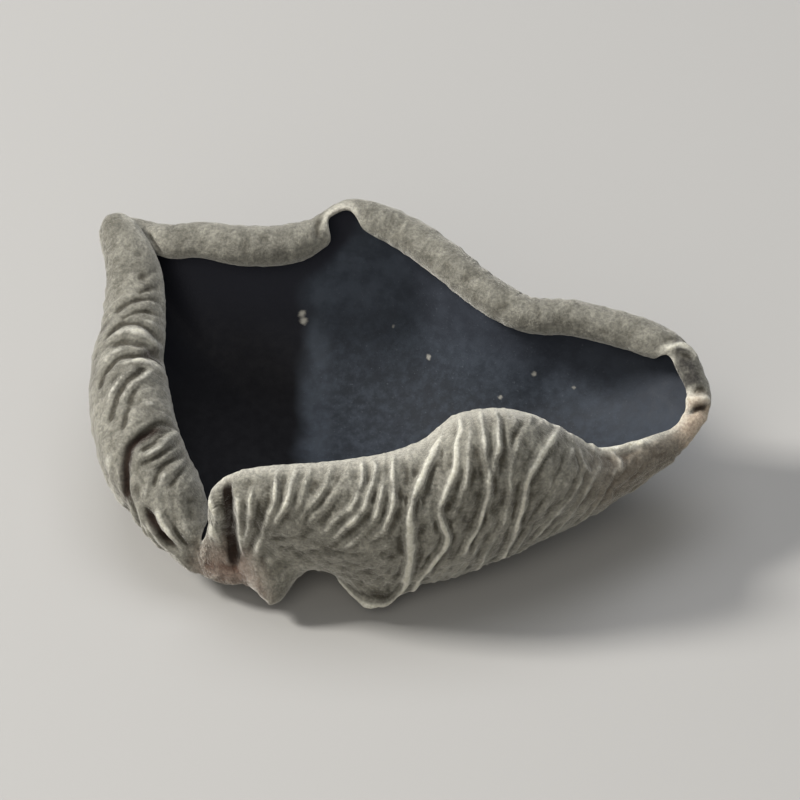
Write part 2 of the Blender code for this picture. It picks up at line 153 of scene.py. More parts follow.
# Creases that sink the whole wall, and grooves and crests of the velvet back alone, each with its height or
# depth, its width, and its line as seen by the camera: sideways and upwards.
Wrinkle = namedtuple("Wrinkle", "height width line")
CREASES = rows_of(
    Wrinkle,
    # By the notch, and across the left roll.
    (0.66, 0.34, ((-11.15, 1.4), (-11.0, 0.0), (-10.85, -2.0), (-10.7, -4.3))),
    (0.40, 0.45, ((-17.0, 9.9), (-16.2, 9.95), (-15.6, 9.8), (-15.0, 9.6))),
    # Two down the left roll, and one across the tip, below its lip.
    (0.25, 0.50, ((-17.8, -0.4), (-17.9, 2.4), (-17.4, 4.3), (-14.6, 5.2))),
    (0.25, 0.45, ((-16.9, 0.4), (-15.6, -1.8), (-13.8, -3.2))),
    (0.35, 0.30, ((18.2, 6.1), (19.0, 6.25), (20.4, 6.4))),
)
GROOVES = rows_of(
    Wrinkle,
    # The left roll, from its top down.
    (0.16, 0.16, ((-17.8, 18.85), (-17.3, 18.5), (-16.85, 18.05), (-16.4, 17.4), (-15.95, 16.7))),
    (0.12, 0.22, ((-17.6, 14.8), (-17.05, 15.05), (-16.4, 15.25), (-15.7, 15.3))),
    (0.14, 0.20, ((-17.7, 13.7), (-17.05, 13.95), (-16.45, 14.2), (-15.7, 14.25))),
    (0.17, 0.19, ((-18.9, 12.5), (-18.3, 13.05), (-17.5, 13.4), (-16.7, 13.5), (-15.9, 13.35))),
    (0.19, 0.18, ((-18.6, 12.1), (-18.0, 12.45), (-17.3, 12.6), (-16.4, 12.6), (-15.5, 12.1))),
    (0.20, 0.22, ((-19.5, 10.7), (-19.1, 11.3), (-18.6, 11.65), (-18.0, 11.85), (-17.3, 11.85),
        (-16.8, 11.7), (-16.3, 11.4), (-15.85, 11.0), (-15.5, 10.4))),
    (0.12, 0.31, ((-19.1, 10.3), (-18.4, 10.7), (-17.6, 10.45), (-16.7, 10.6), (-16.2, 10.1))),
    (0.22, 0.22, ((-19.6, 7.3), (-19.6, 8.1), (-19.15, 8.9), (-18.85, 9.35), (-18.4, 9.7), (-17.9, 9.8),
        (-17.2, 9.85), (-16.5, 9.9))),
    (0.27, 0.22, ((-18.7, 5.3), (-18.7, 6.1), (-18.5, 6.9), (-18.2, 7.5), (-17.7, 8.1), (-17.1, 8.7),
        (-16.7, 9.1))),
    (0.22, 0.20, ((-18.0, 4.8), (-17.85, 5.8), (-17.6, 6.6), (-17.3, 7.3), (-16.85, 7.9))),
    (0.22, 0.24, ((-15.4, 5.4), (-15.9, 5.2), (-16.4, 4.8), (-17.0, 4.5), (-17.5, 4.0), (-17.75, 3.3),
        (-17.85, 2.1), (-17.9, 1.4), (-17.7, 0.7), (-17.3, -0.2), (-16.9, -0.9))),
    (0.17, 0.18, ((-14.1, 5.9), (-14.6, 5.3), (-15.2, 4.65), (-15.8, 4.15), (-16.4, 3.8),
        (-17.2, 3.8))),
    (0.17, 0.18, ((-13.8, 4.7), (-14.4, 4.2), (-15.1, 3.7), (-15.8, 3.15), (-16.5, 2.85),
        (-17.3, 2.8))),
    (0.17, 0.18, ((-13.6, 3.8), (-14.3, 3.4), (-15.0, 2.9), (-15.55, 2.4), (-15.8, 1.7), (-15.8, 1.0))),
    (0.15, 0.17, ((-13.3, 3.2), (-13.8, 2.7), (-14.4, 2.1), (-14.9, 1.5), (-15.1, 0.9))),
    (0.26, 0.24, ((-16.7, 0.2), (-16.3, -0.5), (-16.0, -1.1), (-15.5, -1.8), (-15.0, -2.5),
        (-14.3, -3.2))),
    (0.20, 0.20, ((-14.9, -1.0), (-14.6, -1.6), (-14.1, -2.2), (-13.5, -2.8))),
    # The foot of the stub.
    (0.16, 0.20, ((-13.0, -4.0), (-12.0, -3.75), (-10.9, -4.0), (-9.8, -4.6))),
)
CRESTS = rows_of(
    Wrinkle,
    # The front band, from the notch to the tip.
    (0.22, 0.32, ((-12.0, 1.2), (-11.9, -0.8), (-11.7, -3.0))),
    (0.22, 0.21, ((-10.3, 1.4), (-10.2, -0.6), (-10.3, -3.2))),
    (0.19, 0.19, ((-9.3, 1.9), (-9.6, -0.8), (-10.1, -3.0))),
    (0.18, 0.18, ((-7.8, 2.2), (-8.0, 0.2), (-8.8, -1.8), (-9.6, -3.4))),
    (0.18, 0.18, ((-6.7, 2.5), (-7.2, 0.6), (-8.0, -1.4))),
    (0.13, 0.17, ((-5.6, 2.6), (-6.2, 1.0), (-6.9, -0.6))),
    (0.12, 0.17, ((-4.1, 2.8), (-4.9, 1.2), (-6.0, 0.0), (-7.0, -1.6))),
    (0.12, 0.17, ((-3.0, 3.0), (-3.7, 1.4), (-4.9, 0.0), (-6.2, -1.2))),
    (0.10, 0.16, ((-8.7, -1.6), (-7.5, -1.75), (-6.4, -1.6))),
    (0.10, 0.16, ((-8.9, -2.2), (-7.6, -2.3), (-6.4, -2.1), (-5.6, -2.4))),
    (0.09, 0.16, ((-5.2, -3.3), (-4.2, -3.1), (-3.0, -3.5), (-1.8, -3.4))),
    (0.20, 0.19, ((-2.3, 3.0), (-2.5, 1.4), (-2.8, 0.2), (-4.0, -0.7), (-5.3, -1.9))),
    (0.20, 0.19, ((-1.6, 2.6), (-2.0, 1.0), (-2.2, -0.2), (-3.4, -1.2), (-4.7, -2.2))),
    (0.19, 0.19, ((-1.0, 2.2), (-1.3, 0.4), (-1.6, -0.8), (-2.8, -1.8), (-4.0, -2.8))),
    (0.18, 0.19, ((-0.3, 3.2), (-0.4, 1.2), (-0.5, 0.0), (-1.0, -1.4), (-2.3, -2.3))),
    (0.30, 0.24, ((2.9, 5.1), (2.3, 3.8), (1.3, 1.8), (0.7, 0.0), (0.6, -1.4), (0.7, -3.0),
        (0.57, -4.2), (0.33, -5.2), (-0.26, -5.87), (-0.78, -6.13), (-1.34, -6.23), (-2.1, -6.26),
        (-2.6, -6.05), (-3.1, -5.7), (-3.6, -5.25), (-4.1, -4.8))),
    (0.27, 0.22, ((3.95, 6.0), (3.8, 4.6), (3.7, 2.8), (3.2, 1.4), (2.5, -0.1), (2.7, -1.0),
        (3.1, -2.1), (2.62, -2.92), (1.9, -3.8), (1.2, -4.7))),
    (0.14, 0.18, ((2.7, -1.0), (3.6, -0.2), (4.2, 1.4), (4.4, 3.4), (4.5, 5.6))),
    (0.24, 0.20, ((5.2, 6.0), (5.4, 4.0), (5.7, 2.4), (5.6, 1.0), (5.4, -0.2), (4.8, -1.6),
        (4.0, -3.4))),
    (0.20, 0.19, ((6.2, 6.2), (6.2, 4.6), (6.1, 3.0), (5.8, 1.4))),
    (0.28, 0.22, ((10.6, 5.3), (10.0, 4.6), (9.0, 3.4), (8.4, 2.4), (7.9, 1.3), (8.1, 0.4), (7.6, -0.8),
        (7.2, -2.0), (6.6, -3.2), (5.7, -4.3))),
    (0.14, 0.17, ((8.4, 5.8), (7.4, 3.8), (6.9, 1.8), (6.9, 0.2), (6.3, -1.6), (5.4, -3.2))),
    (0.14, 0.17, ((11.2, 4.2), (10.2, 1.8), (9.6, 0.4), (8.8, -0.6), (8.0, -1.9), (7.4, -3.0))),
    (0.14, 0.17, ((12.0, 3.6), (11.8, 2.2), (11.0, 0.6), (10.0, -0.6), (9.0, -1.8), (8.0, -3.1))),
    (0.13, 0.17, ((12.9, 3.5), (12.6, 2.4), (12.0, 1.0), (11.0, -0.6), (9.8, -1.8), (8.8, -3.0))),
    (0.11, 0.17, ((14.4, 3.6), (13.5, 1.7), (12.8, 0.2), (11.8, -1.0), (10.6, -2.2))),
    # The knobbly edge where the band ends.
    (0.30, 0.26, ((10.4, 4.95), (11.4, 4.3), (12.3, 3.8), (13.2, 3.55), (14.3, 3.75), (15.3, 4.15),
        (16.1, 4.3))),
    (0.34, 0.30, ((12.5, 3.75), (12.55, 3.35))),
    (0.20, 0.21, ((13.5, 3.6), (14.1, 3.3), (14.35, 2.8), (14.2, 2.3), (13.7, 2.0))),
    (0.32, 0.30, ((15.5, 4.3), (15.7, 3.9))),
    (0.18, 0.20, ((11.5, 3.3), (11.8, 2.45), (12.5, 1.95))),
    # The lip at the tip, the tube's end above it, and the tube's end at the step.
    (0.42, 0.32, ((18.2, 7.2), (18.7, 6.9), (19.4, 6.8), (20.3, 6.8))),
    (0.22, 0.26, ((16.9, 9.5), (17.4, 10.1), (18.2, 10.5), (19.1, 10.1), (19.7, 9.1))),
    (0.14, 0.24, ((-4.7, 18.9), (-4.95, 18.3), (-4.85, 17.6), (-4.75, 17.0))),
    # The left roll, from its top down.
    (0.12, 0.26, ((-19.3, 10.6), (-18.7, 11.15), (-17.7, 11.4), (-16.8, 11.2), (-16.2, 10.6))),
    (0.09, 0.22, ((-19.5, 9.1), (-19.1, 9.7), (-18.6, 10.1), (-18.0, 10.3))),
    (0.14, 0.26, ((-18.6, 8.9), (-17.9, 9.35), (-17.3, 9.45), (-16.7, 9.4))),
    (0.15, 0.22, ((-18.3, 6.4), (-17.9, 7.2), (-17.4, 7.95), (-16.8, 8.45), (-16.1, 8.8),
        (-15.3, 9.05))),
    (0.09, 0.26, ((-20.1, 6.4), (-19.7, 5.0), (-19.4, 4.0), (-18.8, 2.9), (-18.4, 1.9))),
    (0.10, 0.22, ((-17.2, 3.3), (-16.4, 3.35), (-15.6, 3.75), (-14.9, 4.3), (-14.2, 4.9))),
    (0.08, 0.16, ((-15.5, 0.8), (-15.3, 1.8), (-14.7, 2.4), (-14.0, 3.1))),
    (0.18, 0.22, ((-16.2, 0.2), (-15.6, -0.8), (-14.9, -1.8), (-14.3, -2.4), (-13.7, -3.0))),
)

# Specks of dust inside the cup: where the camera sees them, sideways and upwards, and how wide they are.
Speck = namedtuple("Speck", "x up width")
SPECKS = rows_of(
    Speck,
    (-6.45, 12.25, 0.54), (-6.5, 11.8, 0.54), (2.0, 9.7, 0.36), (8.8, 8.3, 0.36),
    (6.7, 7.0, 0.30), (-0.4, 11.6, 0.24), (4.2, 5.4, 0.24), (11.6, 7.4, 0.24),
)
SOLID_SPECK = 0.65  # specks narrower than this are fainter
SPECK_CORE, SPECK_EDGE = 0.15, 0.65  # the share of a speck's width where it is full, and where it ends
INSIDE_FACING = 0.2  # how much the inside faces the viewer where a speck may lie
PEACH_PATCH = (19.0, -1.9, 7.9)  # the middle of a pale patch below the tip

STROKE_STEP = 0.3  # between the points of a line laid on the back
SEEN_SQUARE = 0.15  # the view's squares, of which each shows one point of the back
UNDER_FACING = 0.45  # how little the back faces the viewer where a line is led on under the belly
OVER_FACING = 0.8  # the same where it is led on over the roll
LED_ON = 3.0  # how far it is led on
LED_STRAIGHT = 0.8  # how straight on it has to lead

WANDER = 0.14  # how far a drawn wrinkle strays from its line
UNEVEN = 0.35  # how much the heights of wrinkles vary from place to place
TAPER = 1.3  # the stretch over which the end of a crest or a crease fades
GROOVE_TAPER = 0.8  # the same for a groove
END_PAST = 0.2  # how much of its width a wrinkle goes on past its line's end
CREST_SHAPE = 1.6  # 1 is a sharp crest, 2 a round one
FOOT_AWAY = 2.1  # how many widths beside a crest its foot lies, and beside a groove its bank
FOOT_DEPTH = 0.3  # how deep the foot is, as a share of the crest's height
BANK_HEIGHT = 0.3  # how high the bank is, as a share of the groove's depth
CREASE_DEPTH = 0.5  # creases are shaded by their depth as a share of this
DRAWN_CALM = 0.6  # how much of the combed wrinkles dies out beside a drawn one
CALM_REACH = 2.0  # and how many widths away

STROKE_REACH = 1.6  # how far a line combs the noise beside it
USUAL_WEIGHT = 0.05  # how much the usual way of the wrinkles counts beside the drawn lines
UNDER_PLEATS = 1.6  # how strongly the belly and the outside of the walls are wrinkled
LESS_PLEATS = 0.8  # how much less that is below a wrinkled roll
CALM_MARGIN = 0.55  # how much of every wrinkle dies out towards the margin
CALM_EDGE = 0.5  # how thick the rounded edge is, as a share of the wall, where wrinkles reach full height

# Noise that wrinkles the back: how far apart its random values are, and the seed that they are drawn from.
Lumps = namedtuple("Lumps", "cell seed")
WANDERING = (Lumps(1.3, 31), Lumps(1.3, 32), Lumps(1.3, 33))
UNEVENNESS = Lumps(1.1, 34)
RIDGES = Lumps(0.70, 11)
RIPPLES = Lumps(0.36, 23)
PATCHES = Lumps(4.0, 5)
PEBBLES = Lumps(0.5, 41)
SMALL_PEBBLES = Lumps(0.3, 42)
NOISE_VALUES = 4096  # random values that the corners of the noise share
CORNER_KEYS = (73856093, 19349663, 83492791)  # primes that spread the corners over those values

RIDGE_HEIGHT = 0.13
RIPPLE_HEIGHT = 0.06
RIDGE_SHAPE = (0.40, 0.36)  # how wide ridges are in the combed noise, and their mean height
RIPPLE_SHAPE = (0.45, 0.40)
PEBBLE_HEIGHT = 0.05
SMALL_PEBBLE_SHARE = 0.6  # how high the small pebbles are beside the others

# The two skins as flat discs. A ring's radius is 0 in the middle, 1 where the wall is widest and 2 at the
# margin. ROUNDED_SHARE of the last unit is kept for the round edge of the margin. Rings are given as
# stretches: the last ring of each, and how many it has. From each ring that is listed as doubled there are
# twice as many spokes, so that both skins have the same number at the margin.
ROUNDED_SHARE = 0.12
FIRST_SPOKES = 60
VELVET_RINGS = ((0.04, 1), (0.5, 16), (1.0, 40), (2 - ROUNDED_SHARE, 27))
VELVET_DOUBLED = (1, 3, 8, 15)
INSIDE_RINGS = ((0.04, 1), (0.5, 12), (1.0, 20), (2 - ROUNDED_SHARE, 16))
INSIDE_DOUBLED = (1, 3, 10, 53)
EDGE_RINGS = 5  # over the round edge
AT_MARGIN = 1.999  # rings from here on are the margin itself
MARGIN_MERGE = 1e-6  # metres between points of the two skins that become one

# The rings between which something comes in, gives way or dies out.
CORNERS_IN = (0.35, 1.0)  # the rim's corners show in the wall
THINNED = (0.0, 1.6)  # the flesh thins towards the margin
PINCHED = (0.5, 0.9)  # it thins further below a tight roll
SWELLINGS_OUT = (0.8, 1.1)
WAY_TURNED = (0.8, 1.15)  # the usual way of the wrinkles turns from the root's to up the roll
UNDER_OUT = (0.95, 1.2)  # the belly's pleats give way to the roll's
CALMED = (1.65, 1.95)  # wrinkles calm down towards the margin

RIM_SAMPLES = 2400
TURN_EFFORT = 1.6  # millimetres of rim that one radian of turning counts for
PLEATED_EFFORT = 1.5  # how much closer the spokes stand on the pleated front and left than at the back
LEFT_WEIGHT = 0.5  # how much the left counts beside the front there
SOFTENED = 0.03  # the share of the rim over which its corners are smoothed out down on the belly
FLATTENED = 0.10  # the same, for the flat of the belly
NORMAL_STEP = 0.002  # the spokes and rings between the points that a normal is worked out from

GRID_SPOKES = 1152  # the even grid on which the back's wrinkles are combed
GRID_RINGS = 200
GRID_START = 0.12  # the ring where the grid begins
COARSE = 4  # the flow is worked out at every fourth point of the grid
COMB_STEP = 0.25
COMB_STEPS = 9  # each way


# ---- Curling the flat flesh ----


def ring_spline(values, knots, at, level=False):
    """A closed curve through the values at the knots, read at the positions in at. level keeps it from
    overshooting."""
    gap = np.diff(knots)
    rise = (np.roll(values, -1) - values) / gap
    before, back = np.roll(rise, 1), np.roll(gap, 1)
    slope = (before * gap + rise * back) / (gap + back)
    if level:
        most = 3 * np.minimum(abs(before), abs(rise))
        slope = np.where(before * rise > 0, np.clip(slope, -most, most), 0.0)
    here = np.clip(np.searchsorted(knots, at, side="right") - 1, 0, len(gap) - 1)
    after = (here + 1) % len(values)
    t = (at - knots[here]) / gap[here]
    return (
        (2 * t**3 - 3 * t**2 + 1) * values[here]
        + (t**3 - 2 * t**2 + t) * slope[here] * gap[here]
        + (3 * t**2 - 2 * t**3) * values[after]
        + (t**3 - t**2) * slope[after] * gap[here]
    )


def smooth_step(low, high, value):
    t = np.clip((value - low) / (high - low), 0, 1)
    return t * t * (3 - 2 * t)


def unit(vectors):
    return vectors / (np.linalg.norm(vectors, axis=-1, keepdims=True) + 1e-9)


def softened(values, effort, share):
    """The values smoothed round the rim by a bell curve that is this share of the rim wide."""
    evenly = np.interp(np.arange(len(values)) / len(values), effort, values, period=1)
    waves = np.fft.rfftfreq(len(values), 1 / len(values))
    smooth = np.fft.irfft(np.fft.rfft(evenly) * np.exp(-2 * (math.pi * share * waves) ** 2), len(values))
    return np.interp(effort, np.arange(len(values)) / len(values), smooth, period=1)


def rim_table():
    """The rim sampled finely, as arrays: the stations' values, the way inwards, how far the roll leans, the
    widest points, and effort, which runs from 0 to 1 round the rim and spaces the spokes. Values whose
    names start with soft or flat are smoothed round the rim."""
    stations = np.array(RIM)
    steps = np.linalg.norm(np.roll(stations[:, :3], -1, axis=0) - stations[:, :3], axis=1)
    knots = np.concatenate([[0.0], np.cumsum(np.sqrt(steps))])
    at = np.linspace(0.0, knots[-1], RIM_SAMPLES, endpoint=False)
    rim = {
        name: ring_spline(stations[:, i], knots, at, level=name not in "xyz")
        for i, name in enumerate(Station._fields)
    }
    ahead = np.stack([np.roll(rim[axis], -1) - np.roll(rim[axis], 1) for axis in "xyz"])
    level = np.hypot(ahead[0], ahead[1])
    rim["in_x"], rim["in_y"] = -ahead[1] / level, ahead[0] / level
    rim["lean"] = np.arctan2(ahead[2], level) * smooth_step(UPRIGHT_ROLL, LEANING_ROLL, rim["radius"])
    run = np.linalg.norm(ahead, axis=0) / 2
    turned = np.linalg.norm(np.gradient(ahead / (2 * run), axis=1), axis=0)
    pleated = 1 / (1 + np.exp(rim["y"] + LEFT_WEIGHT * rim["x"]))
    effort = run * (1 + (PLEATED_EFFORT - 1) * pleated) + TURN_EFFORT * turned
    rim["effort"] = (np.cumsum(effort) - effort) / effort.sum()
    rim["wide_x"] = rim["x"] - rim["in_x"] * rim["radius"]
    rim["wide_y"] = rim["y"] - rim["in_y"] * rim["radius"]
    for name in ("wide_x", "wide_y", "z", "drop", "reach"):
        rim["soft_" + name] = softened(rim[name], rim["effort"], SOFTENED)
    for axis in "xy":
        rim["flat_" + axis] = softened(rim["wide_" + axis], rim["effort"], FLATTENED)
    return rim


def rolled_length(ring, roll):
    """How far along the roll a ring lies. The last rings crowd into the round edge of the margin."""
    evenly = np.clip((ring - 1) / (1 - ROUNDED_SHARE), 0, 1) * (roll - ROUNDED_MARGIN)
    return evenly + np.maximum(ring - 2 + ROUNDED_SHARE, 0) / ROUNDED_SHARE * ROUNDED_MARGIN


def curled(rim, spoke, ring):
    """Where points of the flat sheet go as it curls, in millimetres. spoke is 0 to 1 round the rim."""
    at = {name: np.interp(spoke, rim["effort"], rim[name], period=1) for name in rim}
    up = np.array([0.0, 0.0, 1.0])
    inward = np.stack([at["in_x"], at["in_y"], 0 * ring], axis=1)
    inward /= np.linalg.norm(inward, axis=1)[:, None]
    sharp = smooth_step(*CORNERS_IN, ring)
    rim_z, drop, reach, wide_x, wide_y = (
        at["soft_" + name] * (1 - sharp) + at[name] * sharp
        for name in ("z", "drop", "reach", "wide_x", "wide_y")
    )
    middle = np.array([*BELLY_MIDDLE, 0.0])
    widest = np.stack([wide_x, wide_y, rim_z], axis=1)
    flat_out = np.stack([at["flat_x"], at["flat_y"], 0 * ring], axis=1)
    under = middle + (flat_out - middle) * reach[:, None]
    below = widest - up * (rim_z * drop)[:, None]
    t = np.minimum(ring, 1)[:, None]
    belly = (
        (1 - t) ** 3 * middle
        + 3 * (1 - t) ** 2 * t * under
        + 3 * (1 - t) * t**2 * below
        + t**3 * widest
    )
    forward = np.stack([inward[:, 1], -inward[:, 0], 0 * ring], axis=1)
    rising = up * np.cos(at["lean"])[:, None] - forward * np.sin(at["lean"])[:, None]
    arc = at["radius"] * np.radians(at["turn"])
    along = rolled_length(ring, arc + at["lip"])
    angle = np.minimum(along, arc) / at["radius"]
    tightened = (at["radius"] * (1 - TIGHTENING * angle))[:, None]
    centre = np.stack([at["x"], at["y"], at["z"]], axis=1)
    rise, run = np.sin(angle)[:, None], np.cos(angle)[:, None]
    rolled = centre + tightened * (rising * rise - inward * run)
    rolled += (rising * run + inward * rise) * np.maximum(along - arc, 0)[:, None]
    return np.where(ring[:, None] > 1, rolled, belly)


def outward(rim, spoke, ring):
    """The way out of the ear's back at points of the sheet."""
    round_rim = curled(rim, spoke + NORMAL_STEP, ring) - curled(rim, spoke - NORMAL_STEP, ring)
    further, nearer = np.minimum(ring + NORMAL_STEP, 2), np.maximum(ring - NORMAL_STEP, 0)
    normal = np.cross(round_rim, curled(rim, spoke, further) - curled(rim, spoke, nearer))
    return normal / np.maximum(np.linalg.norm(normal, axis=1), 1e-9)[:, None]


def pushed(points, swellings):
    """How far the swellings or hollows move the points."""
    moved = np.zeros_like(points)
    for one in swellings:
        away = np.linalg.norm(points - (one.x, one.y, one.z), axis=1)
        share = np.exp(-((away / one.width) ** 2))[:, None]
        moved += share * (one.push_x, one.push_y, one.push_z)
    return moved


def swollen(points, ring):
    """How far the swellings move points of the velvet back, which they do below the roll alone."""
    return pushed(points, SWELLINGS) * (1 - smooth_step(*SWELLINGS_OUT, ring))[:, None]


def wall_of(rim, spoke, ring):
    """How thick the flesh is at points of the sheet."""
    wall = WALL + (MARGIN_WALL - WALL) * smooth_step(*THINNED, ring)
    roll = np.interp(spoke, rim["effort"], rim["radius"], period=1) * WALL_TO_ROLL
    pinched = np.minimum(wall, roll)
    return wall + (pinched - wall) * smooth_step(*PINCHED, ring)


def margin_roundness(ring, wall):
    """How thick the rounded edge is, as a share of the wall: 1 on the flesh and 0 at the very margin."""
    to_edge = np.maximum(2 - ring, 0) / ROUNDED_SHARE * ROUNDED_MARGIN
    past = 1 - np.clip(2 * to_edge / wall, 0, 1)
    return np.sqrt(1 - past**2)


# ---- Wrinkles ----


def toward_viewer(points):
    return points[..., 2] * math.sin(SEEN_FROM) - points[..., 1] * math.cos(SEEN_FROM)


def view_up(points):
    return points[..., 1] * math.sin(SEEN_FROM) + points[..., 2] * math.cos(SEEN_FROM)


def value_noise(points, lumps):
    """Smooth noise from -1 to 1 in space, with one random value at each corner of a lattice."""
    table = np.random.default_rng(lumps.seed).uniform(-1, 1, NOISE_VALUES)
    place = points / lumps.cell + 1000  # so that no place is below 0
    corner = np.floor(place).astype(np.int64)
    share = place - corner
    share = share * share * (3 - 2 * share)
    total = np.zeros(len(points))
    for step in np.ndindex(2, 2, 2):
        key = (corner + step) @ np.array(CORNER_KEYS)
        weight = np.prod(np.where(np.array(step) == 1, share, 1 - share), axis=1)
        total += weight * table[(key ^ (key >> 13)) % NOISE_VALUES]
    return total


def stroke_points(line):
    """Points every STROKE_STEP along a line of the view."""
    line = np.array(line)
    run = np.concatenate([[0], np.cumsum(np.linalg.norm(np.diff(line, axis=0), axis=1))])
    at = np.linspace(0, run[-1], max(2, round(run[-1] / STROKE_STEP) + 1))
    return np.stack([np.interp(at, run, line[:, 0]), np.interp(at, run, line[:, 1])], axis=1)


class Back:
    """The ear's back as an even grid of spokes and rings, which knows where each of its points lies on the
    sheet as curled (place) and with its swellings (swollen)."""

    def __init__(self, rim):
        spoke, ring = np.meshgrid(
            np.arange(GRID_SPOKES) / GRID_SPOKES, np.linspace(GRID_START, 2, GRID_RINGS)
        )
        self.spoke, self.ring = spoke.ravel(), ring.ravel()
        self.place = curled(rim, self.spoke, self.ring)
        self.swollen = self.place + pushed(self.place, HOLLOWS) + swollen(self.place, self.ring)
        grid = self.swollen.reshape(GRID_RINGS, GRID_SPOKES, 3)
        round_rim = np.roll(grid, -1, axis=1) - np.roll(grid, 1, axis=1)
        self.normal = unit(np.cross(round_rim, np.gradient(grid, axis=0)).reshape(-1, 3))
        self.pleats = np.interp(self.spoke, rim["effort"], rim["pleats"], period=1)
        self.seen = self.seen_points()

    def seen_points(self):
        """The grid points that show from the front: in each small square of that view, the nearest one."""
        squares = np.stack([self.swollen[:, 0], view_up(self.swollen)], axis=1) // SEEN_SQUARE
        order = np.argsort(-toward_viewer(self.swollen), kind="stable")
        order = order[toward_viewer(self.normal[order]) > 0]
        return order[np.unique(squares[order], axis=0, return_index=True)[1]]

    def laid(self, line):
        """A line of the view as points on the back, led on out of sight where it ends at the edge of what
        shows."""
        points = stroke_points(line)
        shown = self.swollen[self.seen]
        away = np.hypot(points[:, :1] - shown[:, 0], points[:, 1:] - view_up(shown))
        found = self.seen[np.argmin(away, axis=1)]
        path = self.place[found]
        for _ in range(2):
            path[1:-1] = (path[:-2] + 2 * path[1:-1] + path[2:]) / 4
        before = self.led_on(found[0], path[0] - path[1])[::-1]
        return np.concatenate([before, path, self.led_on(found[-1], path[-1] - path[-2])])

    def led_on(self, end, way):
        """Grid points that lead on from the end of a line, up over the roll or down under the belly, if it
        was going that way."""
        most, away = (OVER_FACING, 1) if self.ring[end] > 1 else (UNDER_FACING, -1)
        if toward_viewer(self.normal[end]) > most:
            return self.place[:0]
        row, spoke = divmod(end, GRID_SPOKES)
        rows = np.arange(row, GRID_RINGS if away > 0 else 0, away)
        path = self.place[rows * GRID_SPOKES + spoke]
        if len(path) < 2 or unit(path[1] - path[0]) @ unit(way) < LED_STRAIGHT:
            return self.place[:0]
        run = np.concatenate([[0], np.cumsum(np.linalg.norm(np.diff(path, axis=0), axis=1))])
        return path[(run > STROKE_STEP) & (run < LED_ON)]

    def read(self, values, spoke, ring):
        """Grid values at any points of the sheet."""
        table = values.reshape(GRID_RINGS, GRID_SPOKES)
        i = (spoke % 1) * GRID_SPOKES
        j = np.clip((ring - GRID_START) / (2 - GRID_START), 0, 1) * (GRID_RINGS - 1)
        i0, j0 = np.floor(i).astype(int) % GRID_SPOKES, np.minimum(j.astype(int), GRID_RINGS - 2)
        i1, s, t = (i0 + 1) % GRID_SPOKES, i - np.floor(i), j - j0
        low = table[j0, i0] * (1 - s) + table[j0, i1] * s
        high = table[j0 + 1, i0] * (1 - s) + table[j0 + 1, i1] * s
        return low * (1 - t) + high * t

    def nearest(self, spoke, ring):
        """The nearest point of the coarse grid on which the flow is kept."""
        i = np.round((spoke % 1) * GRID_SPOKES / COARSE).astype(int) % (GRID_SPOKES // COARSE)
        j = (ring - GRID_START) / (2 - GRID_START) * (GRID_RINGS - 1) / COARSE
        return np.clip(np.round(j).astype(int), 0, GRID_RINGS // COARSE - 1) * (GRID_SPOKES // COARSE) + i

    def set_flow(self, strokes):
        """Works out which way the wrinkles run: along the strokes near them, and elsewhere away from the
        root under the ear and up the roll. Each way is kept in space, and as spokes and rings per
        millimetre."""
        grid = self.place.reshape(GRID_RINGS, GRID_SPOKES, 3)
        by_spoke = (np.roll(grid, -1, axis=1) - np.roll(grid, 1, axis=1)) * GRID_SPOKES / 2
        by_ring = np.gradient(grid, axis=0) * (GRID_RINGS - 1) / (2 - GRID_START)
        part = (slice(None, None, COARSE), slice(None, None, COARSE))
        here, a, b = (v[part].reshape(-1, 3) for v in (grid, by_spoke, by_ring))
        ring = self.ring.reshape(GRID_RINGS, GRID_SPOKES)[part].ravel()
        aa, ab, bb = (np.sum(u * v, axis=1) for u, v in ((a, a), (a, b), (b, b)))
        unit_a, up_roll = unit(a), unit(b)
        unit_b = unit(b - unit_a * np.sum(b * unit_a, axis=1)[:, None])
        rolled = smooth_step(*WAY_TURNED, ring)[:, None]
        ways = [(USUAL_WEIGHT, unit(here - ROOT) * (1 - rolled) + up_roll * rolled)]
        for points in strokes:
            middle, ahead = (points[1:] + points[:-1]) / 2, unit(np.diff(points, axis=0))
            away = np.linalg.norm(here[:, None, :] - middle, axis=2)
            closest = np.argmin(away, axis=1)
            weight = np.exp(-((away.min(axis=1) / STROKE_REACH) ** 2))
            ways.append((weight, ahead[closest]))
        # Their angles are doubled to take the mean, because a wrinkle runs both ways alike.
        twist_x = twist_y = 0
        for weight, way in ways:
            p, q = np.sum(way * unit_a, axis=1), np.sum(way * unit_b, axis=1)
            twist_x = twist_x + weight * (p * p - q * q)
            twist_y = twist_y + weight * 2 * p * q
        turn = np.arctan2(twist_y, twist_x)[:, None] / 2
        self.way = unit_a * np.cos(turn) + unit_b * np.sin(turn)
        way_a, way_b = np.sum(self.way * a, axis=1), np.sum(self.way * b, axis=1)
        spread = np.maximum(aa * bb - ab * ab, 1e-9)
        self.spokes_per_mm = (way_a * bb - way_b * ab) / spread
        self.rings_per_mm = (way_b * aa - way_a * ab) / spread

    def combed(self, values):
        """Noise on the grid, smeared along the flow and brought to an even strength."""
        total = values.copy()
        for start in (1, -1):
            spoke, ring, last = self.spoke.copy(), self.ring.copy(), None
            for _ in range(COMB_STEPS):
                near = self.nearest(spoke, ring)
                way = self.way[near]
                sign = start if last is None else np.where(np.sum(way * last, axis=1) < 0, -1, 1)
                spoke = spoke + sign * self.spokes_per_mm[near] * COMB_STEP
                ring = np.clip(ring + sign * self.rings_per_mm[near] * COMB_STEP, GRID_START, 2)
                last = way * np.reshape(sign, (-1, 1))
                total += self.read(values, spoke, ring)
        return total / total.std()


